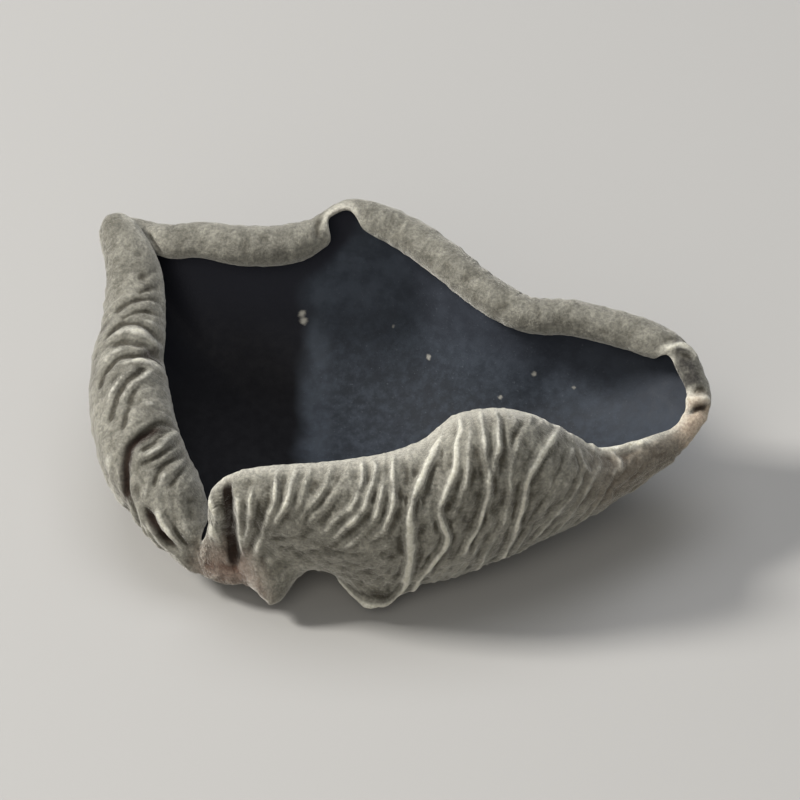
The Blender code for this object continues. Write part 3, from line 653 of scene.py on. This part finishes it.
def beside(points, stroke):
    """How far points in space are from a line in space, how far along it their nearest places are from its
    ends, and its length."""
    nearest, along = np.full(len(points), 1e9), np.zeros(len(points))
    run = 0.0
    for start, end in zip(stroke, stroke[1:]):
        way = end - start
        length = np.linalg.norm(way) + 1e-9
        t = np.clip((points - start) @ way / length**2, 0, 1)
        away = np.linalg.norm(points - start - t[:, None] * way, axis=1)
        closer = away < nearest
        nearest = np.where(closer, away, nearest)
        along = np.where(closer, run + t * length, along)
        run += length
    return nearest, np.minimum(along, run - along), run


def drawn(points, wrinkles, strokes, taper):
    """How high the drawn wrinkles stand at points of the back, how much the flesh beside them sinks or
    rises, and how near the nearest one is."""
    crest, foot, near = (np.zeros(len(points)) for _ in range(3))
    wandered = points + WANDER * np.stack([value_noise(points, lumps) for lumps in WANDERING], axis=1)
    uneven = 1 + UNEVEN * value_noise(points, UNEVENNESS)
    for wrinkle, stroke in zip(wrinkles, strokes):
        reach = 4 * wrinkle.width  # nothing of it is left further away
        lowest, highest = stroke.min(axis=0) - reach, stroke.max(axis=0) + reach
        around = np.all((points > lowest) & (points < highest), axis=1)
        away, from_end, length = beside(wandered[around], stroke)
        fading = smooth_step(0, min(taper, length / 3), from_end + END_PAST * wrinkle.width)
        height = wrinkle.height * uneven[around] * fading
        away = away / wrinkle.width
        crest[around] = np.maximum(crest[around], height * np.exp(-(away**CREST_SHAPE)))
        foot[around] = np.maximum(foot[around], height * np.exp(-((away - FOOT_AWAY) ** 2)))
        near[around] = np.maximum(near[around], np.exp(-((away / CALM_REACH) ** 2)))
    return crest, foot, near


def ridged(combed, width, mean):
    """Combed noise as ridges where it passes through 0, less their mean, so that the valleys sink."""
    return np.exp(-((combed / width) ** 2)) - mean


def wrinkled(back, spoke, ring, points):
    """How high the velvet back stands at points of the sheet: its relief."""
    crests = [back.laid(wrinkle.line) for wrinkle in CRESTS]
    grooves = [back.laid(wrinkle.line) for wrinkle in GROOVES]
    back.set_flow(crests + grooves)
    ridge = ridged(back.combed(value_noise(back.place, RIDGES)), *RIDGE_SHAPE)
    ripple = ridged(back.combed(value_noise(back.place, RIPPLES)), *RIPPLE_SHAPE)
    under = (UNDER_PLEATS - LESS_PLEATS * back.pleats) * (1 - smooth_step(*UNDER_OUT, back.ring))
    strength = np.maximum(under, back.pleats) * (1 + UNEVEN * value_noise(back.place, PATCHES))
    shrunk = strength * (RIDGE_HEIGHT * ridge + RIPPLE_HEIGHT * ripple)
    combed = back.read(shrunk, spoke, ring)
    crest, foot, near_crest = drawn(points, CRESTS, crests, TAPER)
    groove, bank, near_groove = drawn(points, GROOVES, grooves, GROOVE_TAPER)
    pebbles = value_noise(points, PEBBLES) + SMALL_PEBBLE_SHARE * value_noise(points, SMALL_PEBBLES)
    near = np.maximum(near_crest, near_groove)
    return (
        crest - FOOT_DEPTH * foot - groove + BANK_HEIGHT * bank
        + combed * (1 - DRAWN_CALM * near) + PEBBLE_HEIGHT * pebbles
    )


# ---- The ear ----


def spaced_rings(stretches):
    """The radii of a disc's rings, which crowd towards its edge over the round margin."""
    rings, at = [], 0.0
    for last, count in stretches:
        rings += [at + (last - at) * (i + 1) / count for i in range(count)]
        at = last
    rounding = [math.sin(math.pi / 2 * (i + 1) / EDGE_RINGS) for i in range(EDGE_RINGS)]
    return rings + [2 - ROUNDED_SHARE * (1 - part) for part in rounding]


def flat_disc(name, stretches, doubled):
    """A flat disc of spokes and rings, with more spokes towards its margin."""
    rings = spaced_rings(stretches)
    bpy.ops.object.select_all(action="DESELECT")
    bpy.ops.mesh.primitive_circle_add(vertices=FIRST_SPOKES, radius=rings[0], fill_type="TRIFAN")
    disc = bpy.context.object
    disc.name = name
    bpy.ops.object.mode_set(mode="EDIT")
    bpy.ops.mesh.select_mode(type="EDGE")
    bpy.ops.mesh.select_all(action="SELECT")
    bpy.ops.mesh.region_to_loop()
    for number, ring in enumerate(rings):
        if number:
            growth = ring / rings[number - 1]
            bpy.ops.mesh.extrude_edges_move()
            bpy.ops.transform.resize(value=(growth, growth, 1), center_override=(0, 0, 0))
        if number in doubled:
            bpy.ops.mesh.subdivide(number_cuts=1)
            bpy.ops.transform.tosphere(value=1)
    bpy.ops.object.mode_set(mode="OBJECT")
    return disc


def flat_places(disc):
    """The spoke and the ring of each of a flat disc's points. Those of its margin lie at ring 2 exactly."""
    flat = np.zeros(len(disc.data.vertices) * 3)
    disc.data.vertices.foreach_get("co", flat)
    flat = flat.reshape(-1, 3)
    radius = np.hypot(flat[:, 0], flat[:, 1])
    spoke = (np.arctan2(flat[:, 1], flat[:, 0]) / math.tau) % 1
    ring = radius * 2 / radius.max()
    return spoke, np.where(ring > AT_MARGIN, 2, ring)


def dusted(shown, middle):
    """Each speck's place in metres, at the nearest of the points that show inside the cup, and its width.
    middle is the place in the ear's plan that its object's origin lies under."""
    dust = []
    for speck in SPECKS:
        nearest = shown[np.argmin(np.hypot(shown[:, 0] - speck.x, view_up(shown) - speck.up))]
        dust.append((Vector((*(nearest[:2] - middle), nearest[2])) * MM, speck.width * MM))
    return dust


def curl_up(velvet, inside):
    """Curls the two flat skins of the ear up, wrinkles the velvet one, and finds where the dust lies."""
    rim = rim_table()
    back = Back(rim)
    creases = [back.laid(wrinkle.line) for wrinkle in CREASES]
    for skin in (velvet, inside):
        spoke, ring = flat_places(skin)
        normals = outward(rim, spoke, ring)
        sheet = curled(rim, spoke, ring)
        wall = wall_of(rim, spoke, ring)
        rounded = margin_roundness(ring, wall)
        creased = drawn(sheet, CREASES, creases, TAPER)[0]
        moved = pushed(sheet, HOLLOWS) - creased[:, None] * normals
        if skin is velvet:
            calmed = smooth_step(0, CALM_EDGE, rounded) * (1 - CALM_MARGIN * smooth_step(*CALMED, ring))
            relief = wrinkled(back, spoke, ring, sheet) * calmed
            moved += swollen(sheet, ring)
            moved += (relief - wall / 2 * (1 - rounded))[:, None] * normals
            lowest = 0
        else:
            relief = 0 * ring
            moved -= (wall / 2 * (1 + rounded))[:, None] * normals
            lowest = WALL
        place = sheet + moved
        place[:, 2] = np.maximum(place[:, 2] - FLAT_DEPTH, lowest)
        if skin is velvet:
            middle = (place[:, :2].min(axis=0) + place[:, :2].max(axis=0)) / 2
        else:
            shown = (ring < 1) & (toward_viewer(-normals) > INSIDE_FACING)
            dust = dusted(place[shown], middle)
        place[:, :2] -= middle
        skin.data.vertices.foreach_set("co", (place * MM).ravel())
        for name, values in (
            ("relief", relief),
            ("ring", ring),
            ("crease", creased / CREASE_DEPTH),
            ("root", np.exp(-((np.linalg.norm(sheet - ROOT, axis=1) / RED_REACH) ** 2))),
        ):
            skin.data.attributes.new(name, "FLOAT", "POINT").data.foreach_set("value", values)
    return dust


def edit_all(piece):
    """Opens one piece in edit mode, with all of its faces selected."""
    bpy.ops.object.select_all(action="DESELECT")
    piece.select_set(True)
    bpy.context.view_layer.objects.active = piece
    bpy.ops.object.mode_set(mode="EDIT")
    bpy.ops.mesh.select_all(action="SELECT")


def wood_ear():
    """The whole mushroom: two skins that meet at the margin."""
    velvet = flat_disc("wood_ear", VELVET_RINGS, VELVET_DOUBLED)
    inside = flat_disc("inside", INSIDE_RINGS, INSIDE_DOUBLED)
    dust = curl_up(velvet, inside)
    for finish in (velvet_back(), dark_inside(dust)):
        velvet.data.materials.append(finish)
        inside.data.materials.append(finish)
    inside.data.polygons.foreach_set("material_index", [1] * len(inside.data.polygons))
    edit_all(inside)
    bpy.ops.mesh.flip_normals()
    bpy.ops.object.mode_set(mode="OBJECT")
    velvet.select_set(True)
    bpy.context.view_layer.objects.active = velvet
    bpy.ops.object.join()
    edit_all(velvet)
    bpy.ops.mesh.remove_doubles(threshold=MARGIN_MERGE)
    bpy.ops.mesh.normals_make_consistent(inside=False)
    bpy.ops.object.mode_set(mode="OBJECT")
    bpy.ops.object.shade_smooth()
    return velvet


# ---- Finishes ----


def colour(code):
    """A colour written as on the web, as Blender's linear values."""
    parts = [int(code[i : i + 2], 16) / 255 for i in (1, 3, 5)]
    return tuple(c / 12.92 if c < 0.04045 else ((c + 0.055) / 1.055) ** 2.4 for c in parts) + (1.0,)


def give(tree, node, sockets):
    """Gives a node's sockets their values or links. A colour is given by its code."""
    for socket, value in sockets.items():
        if isinstance(value, bpy.types.NodeSocket):
            tree.links.new(value, node.inputs[socket])
        else:
            node.inputs[socket].default_value = colour(value) if isinstance(value, str) else value


def add(tree, kind, sockets=None, **settings):
    """Adds a node to a tree, sets its options, and gives its sockets their values or links."""
    made = tree.nodes.new("ShaderNode" + kind)
    for name, value in settings.items():
        setattr(made, name, value)
    give(tree, made, sockets or {})
    return made


def mixed(tree, share, first, second, how="MIX"):
    """Two colours mixed."""
    return add(tree, "Mix", {0: share, 6: first, 7: second}, data_type="RGBA", blend_type=how).outputs[2]


def stretched(tree, value, low, high, new_low=0.0, new_high=1.0):
    """A number moved from one range to another."""
    made = add(tree, "MapRange", {"Value": value, "From Min": low, "From Max": high,
                                  "To Min": new_low, "To Max": new_high}, interpolation_type="SMOOTHSTEP")
    return made.outputs["Result"]


def product(tree, first, second):
    return add(tree, "Math", {0: first, 1: second}, operation="MULTIPLY").outputs[0]


def shifted(tree, value, by, share):
    """A number with a share of another one added."""
    return add(tree, "Math", {0: by, 1: share, 2: value}, operation="MULTIPLY_ADD").outputs[0]


def distance(tree, coords, place):
    return add(tree, "VectorMath", {0: coords, 1: place}, operation="DISTANCE").outputs["Value"]


def noise(tree, coords, size, detail=3.0, roughness=0.55, output="Fac"):
    """Noise whose lumps are this many millimetres across."""
    made = add(tree, "TexNoise", {"Vector": coords, "Scale": 1 / (size * MM), "Detail": detail,
                                  "Roughness": roughness})
    return made.outputs[output]


def attribute(tree, name):
    return add(tree, "Attribute", attribute_name=name).outputs["Fac"]


def new_material(name):
    material = bpy.data.materials.new(name)
    material.use_nodes = True
    return material, material.node_tree, material.node_tree.nodes["Principled BSDF"]


def velvet_back():
    """Grey-beige velvet, reddish at the root, painted pale as highlight on crests and margin and dark as
    shade in valleys and creases.
    """
    material, tree, shader = new_material("velvet_back")
    coords = add(tree, "TexCoord").outputs["Object"]
    x, y, _ = add(tree, "SeparateXYZ", {0: coords}).outputs
    relief, root, ring, crease = (attribute(tree, name) for name in ("relief", "root", "ring", "crease"))
    mottled = noise(tree, coords, 2.2)
    dabs = noise(tree, coords, 0.75, detail=2.0)
    grain = noise(tree, coords, 0.20, detail=4.0, roughness=0.7)
    fibres = noise(tree, coords, 0.07, detail=2.0)
    # Mottled, with painted shade down the tip behind its lip, where the flesh faces inward.
    base = mixed(tree, stretched(tree, mottled, 0.36, 0.64), "#716f67", "#85837a")
    past_tube = stretched(tree, x, 17.7 * MM, 18.3 * MM)
    behind_lip = stretched(tree, y, -0.3 * MM, 0.1 * MM)
    painted_shade_strip = product(tree, past_tube, behind_lip)
    shaded = mixed(tree, product(tree, painted_shade_strip, stretched(tree, ring, 1.25, 1.5)), base, "#454340")
    dabbed = mixed(tree, stretched(tree, dabs, 0.40, 0.66, 0.0, 0.3), shaded, "#a6a49a")
    # Crests painted pale as highlight, and valleys painted dark brown as shade.
    crest = mixed(tree, stretched(tree, relief, 0.04, 0.20, 0.0, 0.85), dabbed, "#d6d4ca")
    valley_shade = mixed(tree, stretched(tree, relief, 0.0, -0.13, 0.0, 0.85), crest, "#38342b")
    # Warmer towards the tip, with a peach patch, then red at the root and painted shade in the creases,
    # darkest where they are deepest.
    to_front = stretched(tree, y, 0.0, -3 * MM)
    warm = product(tree, stretched(tree, x, 9.5 * MM, 15.5 * MM), to_front)
    smooth_end = mixed(tree, stretched(tree, warm, 0.0, 1.0, 0.0, 0.5), valley_shade, "#74675a")
    patch = distance(tree, coords, Vector(PEACH_PATCH) * MM)
    peachy = mixed(tree, stretched(tree, patch, 2.6 * MM, 1.0 * MM, 0.0, 0.75), smooth_end, "#d2c0ab")
    red = mixed(tree, stretched(tree, root, 0.35, 0.95, 0.0, 0.5), peachy, "#6e4c40")
    deep = mixed(tree, stretched(tree, crease, 0.10, 0.5, 0.0, 0.95), red, "#22150d")
    # A painted highlight along the margin, brightest on the knobbly edge where the band ends.
    off_shade_strip = stretched(tree, painted_shade_strip, 0.0, 1.0, 1.0, 0.0)
    pale = product(tree, stretched(tree, ring, 1.5, 2.0, 0.0, 0.75), off_shade_strip)
    edged = mixed(tree, pale, deep, "#cdcabf")
    past_band = stretched(tree, x, 9.5 * MM, 11.5 * MM)
    before_tip = stretched(tree, x, 17 * MM, 15.5 * MM)
    band_end = product(tree, product(tree, past_band, before_tip), to_front)
    knob_highlights = product(tree, stretched(tree, ring, 1.55, 1.85), stretched(tree, dabs, 0.35, 0.6, 0.35, 0.9))
    lit = mixed(tree, product(tree, band_end, knob_highlights), edged, "#dfddd2")
    # The velvet's grain, with painted shade in the bump's pits and painted highlight on its tops.
    grain_and_pit_shade = mixed(tree, stretched(tree, grain, 0.3, 0.7), "#47443c", "#d2cfc6")
    coarse = add(tree, "Bump", {"Strength": 0.9, "Distance": 0.10 * MM, "Height": grain})
    fine = add(tree, "Bump", {"Strength": 0.7, "Distance": 0.04 * MM, "Height": fibres,
                              "Normal": coarse.outputs["Normal"]})
    give(tree, shader, {
        "Base Color": mixed(tree, 0.45, lit, grain_and_pit_shade, how="OVERLAY"),
        "Roughness": 0.9,
        "Specular IOR Level": 0.2,
        "Sheen Weight": 1.0,
        "Sheen Roughness": 0.3,
        "Sheen Tint": "#e2dfd6",
        "Normal": fine.outputs["Normal"],
    })
    return material


def dark_inside(dust):
    """The spore side: blue-black and smooth, with a painted shadow darkening its left and painted light up
    its walls, with pale specks of dust at the given places."""
    material, tree, shader = new_material("dark_inside")
    coords = add(tree, "TexCoord").outputs["Object"]
    x, _, z = add(tree, "SeparateXYZ", {0: coords}).outputs
    clouds = noise(tree, coords, 5.0)
    mottled = noise(tree, coords, 1.6)
    bloom = noise(tree, coords, 0.6, detail=5.0, roughness=0.65)
    skin = noise(tree, coords, 0.16)
    # How far to the right of the painted shadow's cloudy edge, which leans right as the wall climbs.
    climbing = stretched(tree, z, 8.5 * MM, 13.5 * MM)
    across = shifted(tree, shifted(tree, x, clouds, 3 * MM), climbing, -4 * MM)
    high = stretched(tree, z, 3 * MM, 10 * MM)
    # The right: painted light up the walls, a painted highlight arc by the shadow's edge, clouds, haze and
    # a painted tube shadow above.
    right = mixed(tree, high, "#24282d", "#454b54")
    # A painted highlight arc along the edge of the painted shadow.
    painted_highlight_arc = mixed(tree, stretched(tree, across, -4.4 * MM, -2.2 * MM, 0.4, 0.0), right, "#555c65")
    cloudy = mixed(tree, stretched(tree, mottled, 0.38, 0.62, 0.0, 0.4), painted_highlight_arc, "#22252b")
    hazy = mixed(tree, stretched(tree, bloom, 0.35, 0.75, 0.0, 0.32), cloudy, "#525963")
    # A painted shadow of the right tube on the wall below it.
    beyond = stretched(tree, x, -1.0 * MM, 2.0 * MM)
    above = stretched(tree, high, 0.35, 1.0, 0.0, 0.55)
    painted_tube_shadow = mixed(tree, product(tree, beyond, above), hazy, "#25262c")
    grained = mixed(tree, stretched(tree, skin, 0.62, 0.78, 0.0, 0.35), painted_tube_shadow, "#666b72")
    shaded = mixed(tree, stretched(tree, x, 12 * MM, 17 * MM, 0.0, 0.3), grained, "#1d2126")
    # The left third painted dark as the left roll's shadow, and paler up the walls as painted light.
    left = mixed(tree, high, "#111114", "#2f3037")
    looks = mixed(tree, stretched(tree, across, -5.7 * MM, -4.2 * MM), left, shaded)
    # The specks, each a little out of round.
    wobble = noise(tree, coords, 0.3, detail=2.0, roughness=0.5, output="Color")
    offset = add(tree, "VectorMath", {0: wobble, 1: (0.5, 0.5, 0.5)}, operation="SUBTRACT").outputs[0]
    scaled = add(tree, "VectorMath", {0: offset, 3: 0.3 * MM}, operation="SCALE").outputs[0]
    strayed = add(tree, "VectorMath", {0: coords, 1: scaled}).outputs[0]
    for where, width in dust:
        away = distance(tree, strayed, where)
        full = width / (SOLID_SPECK * MM)
        share = stretched(tree, away, width * SPECK_EDGE, width * SPECK_CORE, 0.0, full)
        looks = mixed(tree, share, looks, "#c9c5b9")
    bump = add(tree, "Bump", {"Strength": 0.35, "Distance": 0.05 * MM, "Height": skin})
    give(tree, shader, {
        "Base Color": looks,
        "Roughness": stretched(tree, bloom, 0.3, 0.7, 0.58, 0.72),
        "Specular IOR Level": 0.14,
        "Normal": bump.outputs["Normal"],
    })
    return material


# ---- The picture ----


def floor():
    bpy.ops.object.select_all(action="DESELECT")
    bpy.ops.mesh.primitive_plane_add(size=3.0)
    plane = bpy.context.object
    plane.name = "floor"
    material, tree, shader = new_material("pale_floor")
    give(tree, shader, {"Base Color": "#a5a39f", "Roughness": 0.9})
    plane.data.materials.append(material)


def soft_light(lamp):
    light = bpy.data.lights.new(lamp.name, "AREA")
    light.shape = "SQUARE"
    light.size = lamp.size
    light.energy = lamp.power
    light.color = colour(lamp.tint)[:3]
    stand = bpy.data.objects.new(lamp.name, light)
    stand.location = lamp.place
    stand.rotation_euler = (Vector(LIT_PLACE) - Vector(lamp.place)).to_track_quat("-Z", "Y").to_euler()
    bpy.context.scene.collection.objects.link(stand)


def studio():
    world = bpy.data.worlds.new("studio")
    bpy.context.scene.world = world
    world.use_nodes = True
    tree = world.node_tree
    give(tree, tree.nodes["Background"], {"Color": "#c9d0d8", "Strength": 0.30})
    bpy.context.scene.view_settings.view_transform = "Standard"
    for lamp in LAMPS:
        soft_light(lamp)


def camera():
    lens = bpy.data.cameras.new("camera")
    lens.lens, lens.sensor_width = LENS, SENSOR
    lens.clip_start, lens.clip_end = 0.01, 10
    far = FRAME_WIDTH * LENS / SENSOR
    aim = Vector(AIM)
    place = aim + far * Vector((0, -math.cos(SEEN_FROM), math.sin(SEEN_FROM)))
    viewer = bpy.data.objects.new("camera", lens)
    viewer.location = place * MM
    viewer.rotation_euler = (aim - place).to_track_quat("-Z", "Y").to_euler()
    bpy.context.scene.collection.objects.link(viewer)
    bpy.context.scene.camera = viewer


ear = wood_ear()
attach(ear, "root")
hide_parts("ear")
floor()
studio()
camera()
